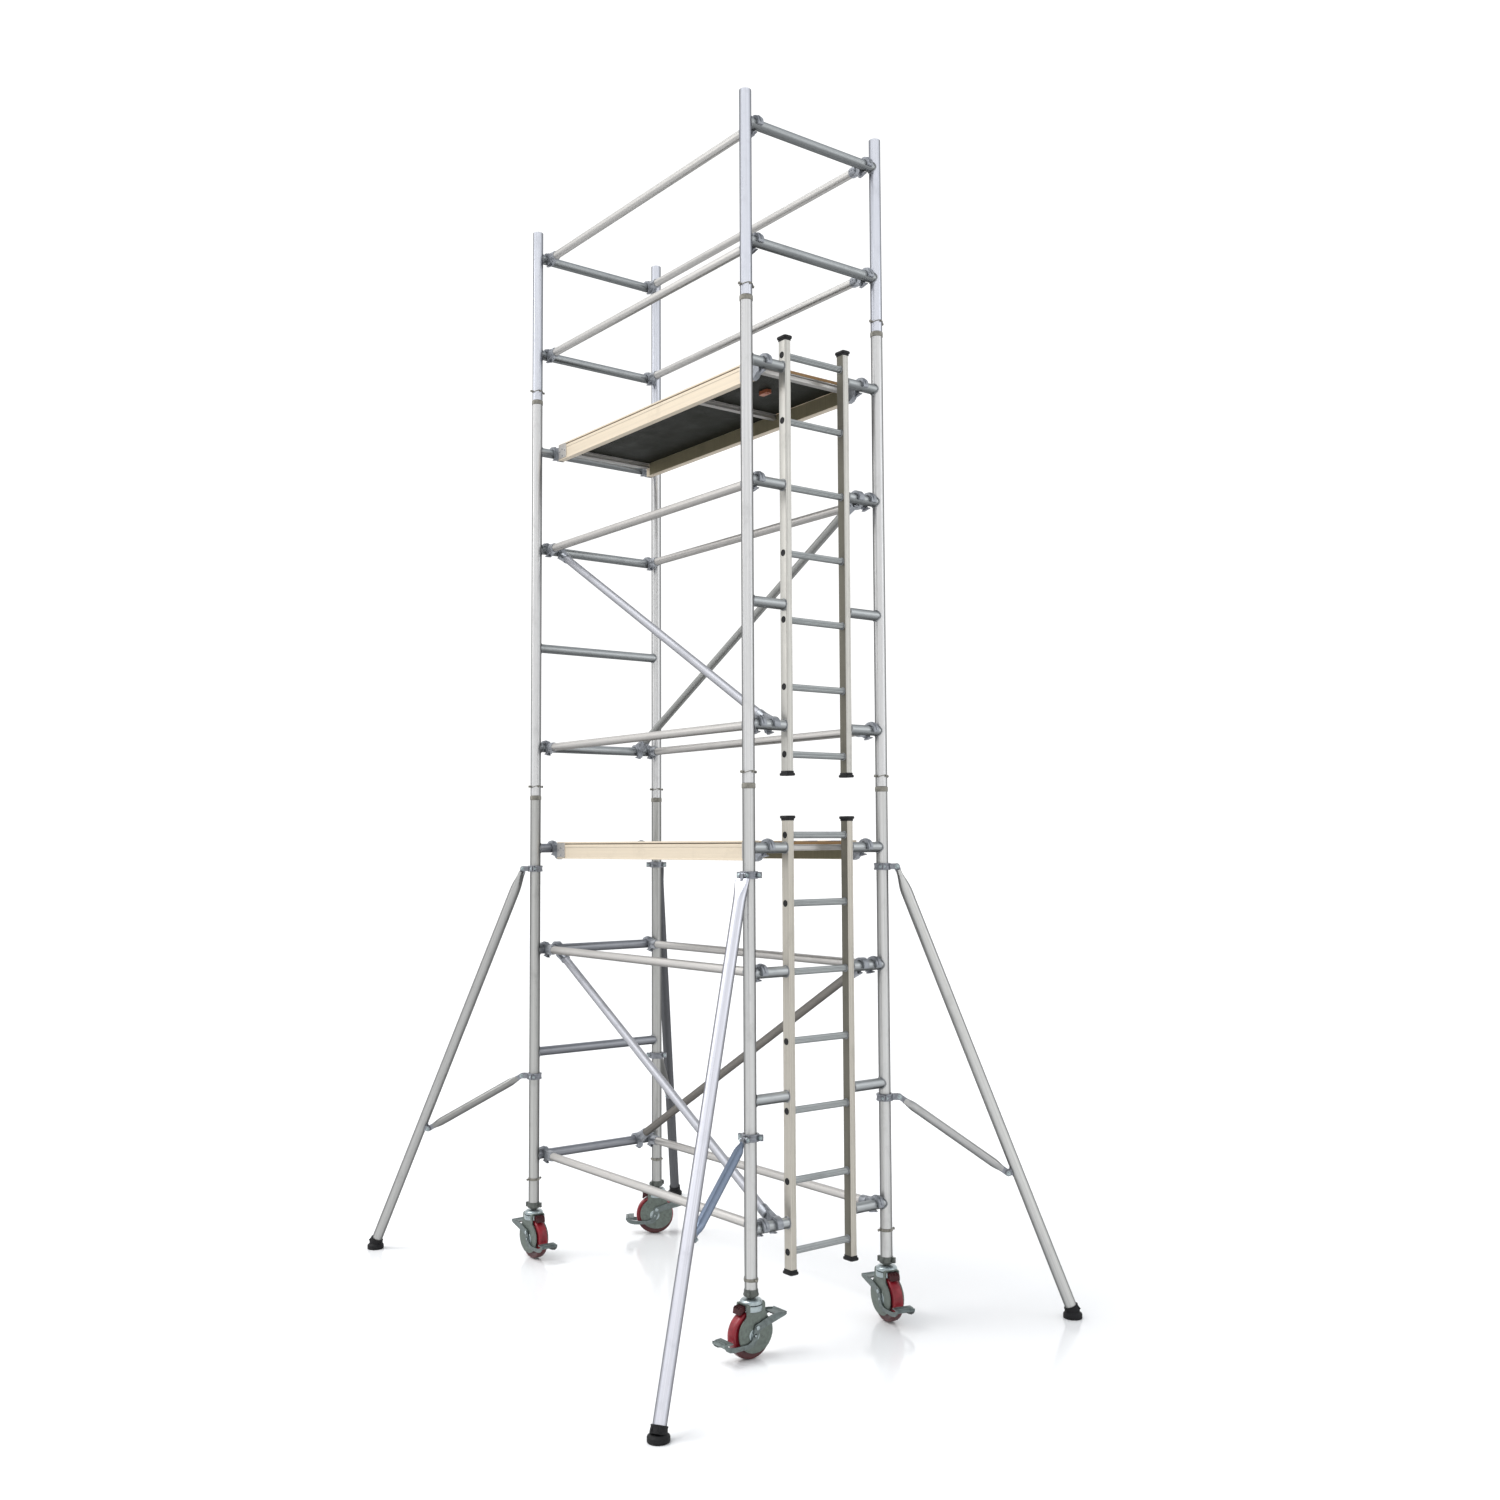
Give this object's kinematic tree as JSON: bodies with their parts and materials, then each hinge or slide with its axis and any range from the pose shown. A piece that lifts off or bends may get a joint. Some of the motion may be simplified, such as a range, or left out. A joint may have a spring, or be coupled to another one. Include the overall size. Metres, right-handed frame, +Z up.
{
  "type": "mobile tower scaffold",
  "caption": "Narrow aluminium tower on braked castors: three tiers of end frames with built-in ladders, hooked braces, work platforms with trapdoors and splayed outriggers.",
  "frame": {"origin": "on the floor, at the middle of the whole object's plan box", "axes": "+Z up; +X towards the end with the ladder frames; -Y towards the front"},
  "size_m": [2.9192, 2.162, 5.118],
  "materials": {
    "frame_tube": "mill-finish tube, satin",
    "brace_tube": "mill-finish tube, satin",
    "platform_beam": "satin extruded beam",
    "deck_board": "dark phenolic-faced plywood",
    "castor_housing": "zinc-plated pressed steel, satin",
    "castor_tread": "polyurethane tread, satin",
    "castor_pedal": "zinc-plated pressed steel, satin",
    "outrigger_tube": "mill-finish tube, satin",
    "clamp_steel": "zinc-plated clamp",
    "foot_rubber": "matt black rubber"
  },
  "bodies": {
    "tower": {"base_frame_left": "frame_tube", "base_ladder_frame_right": "frame_tube", "deck_high": "deck_board", "deck_low": "deck_board", "diagonal_back_high": "brace_tube", "diagonal_back_low": "brace_tube", "diagonal_front_high": "brace_tube", "diagonal_front_low": "brace_tube", "guard_frame_left": "frame_tube", "guard_frame_right": "frame_tube", "guard_rail_high_back": "brace_tube", "guard_rail_high_front": "brace_tube", "guard_rail_low_back": "brace_tube", "guard_rail_low_front": "brace_tube", "mid_frame_left": "frame_tube", "mid_ladder_frame_right": "frame_tube", "platform_frame_high": "platform_beam", "platform_frame_low": "platform_beam", "rail_1_back": "brace_tube", "rail_1_front": "brace_tube", "rail_2_back": "brace_tube", "rail_2_front": "brace_tube", "rail_3_back": "brace_tube", "rail_3_front": "brace_tube", "rail_4_back": "brace_tube", "rail_4_front": "brace_tube"},
    "trapdoor_low": {"trapdoor_low": "deck_board"},
    "trapdoor_high": {"trapdoor_high": "deck_board"},
    "castor_front_right": {"castor_fork_front_right": "castor_housing"},
    "wheel_front_right": {"castor_wheel_front_right": "castor_tread"},
    "brake_front_right": {"castor_brake_front_right": "castor_pedal"},
    "outrigger_front_right": {"outrigger_clamp_front_right": "clamp_steel", "outrigger_lower_clamp_front_right": "clamp_steel"},
    "leg_front_right": {"outrigger_leg_front_right": "outrigger_tube", "outrigger_foot_front_right": "foot_rubber"},
    "strut_front_right": {"outrigger_strut_front_right": "outrigger_tube"},
    "castor_back_right": {"castor_fork_back_right": "castor_housing"},
    "wheel_back_right": {"castor_wheel_back_right": "castor_tread"},
    "brake_back_right": {"castor_brake_back_right": "castor_pedal"},
    "outrigger_back_right": {"outrigger_clamp_back_right": "clamp_steel", "outrigger_lower_clamp_back_right": "clamp_steel"},
    "leg_back_right": {"outrigger_leg_back_right": "outrigger_tube", "outrigger_foot_back_right": "foot_rubber"},
    "strut_back_right": {"outrigger_strut_back_right": "outrigger_tube"},
    "castor_back_left": {"castor_fork_back_left": "castor_housing"},
    "wheel_back_left": {"castor_wheel_back_left": "castor_tread"},
    "brake_back_left": {"castor_brake_back_left": "castor_pedal"},
    "outrigger_back_left": {"outrigger_clamp_back_left": "clamp_steel", "outrigger_lower_clamp_back_left": "clamp_steel"},
    "leg_back_left": {"outrigger_leg_back_left": "outrigger_tube", "outrigger_foot_back_left": "foot_rubber"},
    "strut_back_left": {"outrigger_strut_back_left": "outrigger_tube"},
    "castor_front_left": {"castor_fork_front_left": "castor_housing"},
    "wheel_front_left": {"castor_wheel_front_left": "castor_tread"},
    "brake_front_left": {"castor_brake_front_left": "castor_pedal"},
    "outrigger_front_left": {"outrigger_clamp_front_left": "clamp_steel", "outrigger_lower_clamp_front_left": "clamp_steel"},
    "leg_front_left": {"outrigger_leg_front_left": "outrigger_tube", "outrigger_foot_front_left": "foot_rubber"},
    "strut_front_left": {"outrigger_strut_front_left": "outrigger_tube"}
  },
  "joints": [
    {"name": "trapdoor_open_low", "type": "hinge", "parent": "tower", "child": "trapdoor_low", "pos_m": [0.62758, 0.29157, 2.0145], "axis": [-1, 0, 0], "range_deg": [0, 88]},
    {"name": "trapdoor_open_high", "type": "hinge", "parent": "tower", "child": "trapdoor_high", "pos_m": [0.62758, 0.29157, 4.0145], "axis": [-1, 0, 0], "range_deg": [0, 88]},
    {"name": "castor_swivel_front_right", "type": "hinge", "parent": "tower", "child": "castor_front_right", "pos_m": [0.95758, -0.31493, 0.228], "axis": [0, 0, 1], "continuous": true},
    {"name": "wheel_spin_front_right", "type": "hinge", "parent": "castor_front_right", "child": "wheel_front_right", "pos_m": [0.95758, -0.32493, 0.095], "axis": [-1, 0, 0], "continuous": true},
    {"name": "brake_press_front_right", "type": "hinge", "parent": "castor_front_right", "child": "brake_front_right", "pos_m": [0.95758, -0.31493, 0.124], "axis": [-1, 0, 0], "range_deg": [0, 20]},
    {"name": "outrigger_swing_front_right", "type": "hinge", "parent": "tower", "child": "outrigger_front_right", "pos_m": [0.95758, -0.31493, 1.88037], "axis": [0, 0, 1], "range_deg": [-30, 55]},
    {"name": "leg_lift_front_right", "type": "hinge", "parent": "outrigger_front_right", "child": "leg_front_right", "pos_m": [0.98952, -0.36808, 1.88037], "axis": [-0.8572, -0.515, 0], "range_deg": [0, 25]},
    {"name": "strut_fold_front_right", "type": "hinge", "parent": "leg_front_right", "child": "strut_front_right", "pos_m": [1.2479, -0.79811, 0.5954], "axis": [0.8572, 0.515, 0], "range_deg": [0, 20]},
    {"name": "castor_swivel_back_right", "type": "hinge", "parent": "tower", "child": "castor_back_right", "pos_m": [0.95758, 0.40507, 0.228], "axis": [0, 0, 1], "continuous": true},
    {"name": "wheel_spin_back_right", "type": "hinge", "parent": "castor_back_right", "child": "wheel_back_right", "pos_m": [0.96733, 0.40282, 0.095], "axis": [-0.225, -0.9744, 0], "continuous": true},
    {"name": "brake_press_back_right", "type": "hinge", "parent": "castor_back_right", "child": "brake_back_right", "pos_m": [0.95758, 0.40507, 0.124], "axis": [-0.225, -0.9744, 0], "range_deg": [0, 20]},
    {"name": "outrigger_swing_back_right", "type": "hinge", "parent": "tower", "child": "outrigger_back_right", "pos_m": [0.95758, 0.40507, 1.90508], "axis": [0, 0, 1], "range_deg": [-50, 35]},
    {"name": "leg_lift_back_right", "type": "hinge", "parent": "outrigger_back_right", "child": "leg_back_right", "pos_m": [0.99403, 0.45523, 1.90508], "axis": [0.809, -0.5878, 0], "range_deg": [0, 25]},
    {"name": "strut_fold_back_right", "type": "hinge", "parent": "leg_back_right", "child": "strut_back_right", "pos_m": [1.26402, 0.82685, 0.60437], "axis": [-0.809, 0.5878, 0], "range_deg": [0, 20]},
    {"name": "castor_swivel_back_left", "type": "hinge", "parent": "tower", "child": "castor_back_left", "pos_m": [-0.79242, 0.40507, 0.228], "axis": [0, 0, 1], "continuous": true},
    {"name": "wheel_spin_back_left", "type": "hinge", "parent": "castor_back_left", "child": "wheel_back_left", "pos_m": [-0.79801, 0.39678, 0.095], "axis": [-0.829, 0.5592, 0], "continuous": true},
    {"name": "brake_press_back_left", "type": "hinge", "parent": "castor_back_left", "child": "brake_back_left", "pos_m": [-0.79242, 0.40507, 0.124], "axis": [-0.829, 0.5592, 0], "range_deg": [0, 20]},
    {"name": "outrigger_swing_back_left", "type": "hinge", "parent": "tower", "child": "outrigger_back_left", "pos_m": [-0.79242, 0.40507, 1.89803], "axis": [0, 0, 1], "range_deg": [-45, 40]},
    {"name": "leg_lift_back_left", "type": "hinge", "parent": "outrigger_back_left", "child": "leg_back_left", "pos_m": [-0.83921, 0.44574, 1.89803], "axis": [0.6561, 0.7547, 0], "range_deg": [0, 25]},
    {"name": "strut_fold_back_left", "type": "hinge", "parent": "leg_back_left", "child": "strut_back_left", "pos_m": [-1.19531, 0.7553, 0.60179], "axis": [-0.6561, -0.7547, 0], "range_deg": [0, 20]},
    {"name": "castor_swivel_front_left", "type": "hinge", "parent": "tower", "child": "castor_front_left", "pos_m": [-0.79242, -0.31493, 0.228], "axis": [0, 0, 1], "continuous": true},
    {"name": "wheel_spin_front_left", "type": "hinge", "parent": "castor_front_left", "child": "wheel_front_left", "pos_m": [-0.78242, -0.31493, 0.095], "axis": [0, -1, 0], "continuous": true},
    {"name": "brake_press_front_left", "type": "hinge", "parent": "castor_front_left", "child": "brake_front_left", "pos_m": [-0.79242, -0.31493, 0.124], "axis": [0, -1, 0], "range_deg": [0, 20]},
    {"name": "outrigger_swing_front_left", "type": "hinge", "parent": "tower", "child": "outrigger_front_left", "pos_m": [-0.79242, -0.31493, 1.88708], "axis": [0, 0, 1], "range_deg": [-40, 45]},
    {"name": "leg_lift_front_left", "type": "hinge", "parent": "outrigger_front_left", "child": "leg_front_left", "pos_m": [-0.83921, -0.35561, 1.88708], "axis": [-0.6561, 0.7547, 0], "range_deg": [0, 25]},
    {"name": "strut_fold_front_left", "type": "hinge", "parent": "leg_front_left", "child": "strut_front_left", "pos_m": [-1.20945, -0.67746, 0.59782], "axis": [0.6561, -0.7547, 0], "range_deg": [0, 20]}
  ]
}
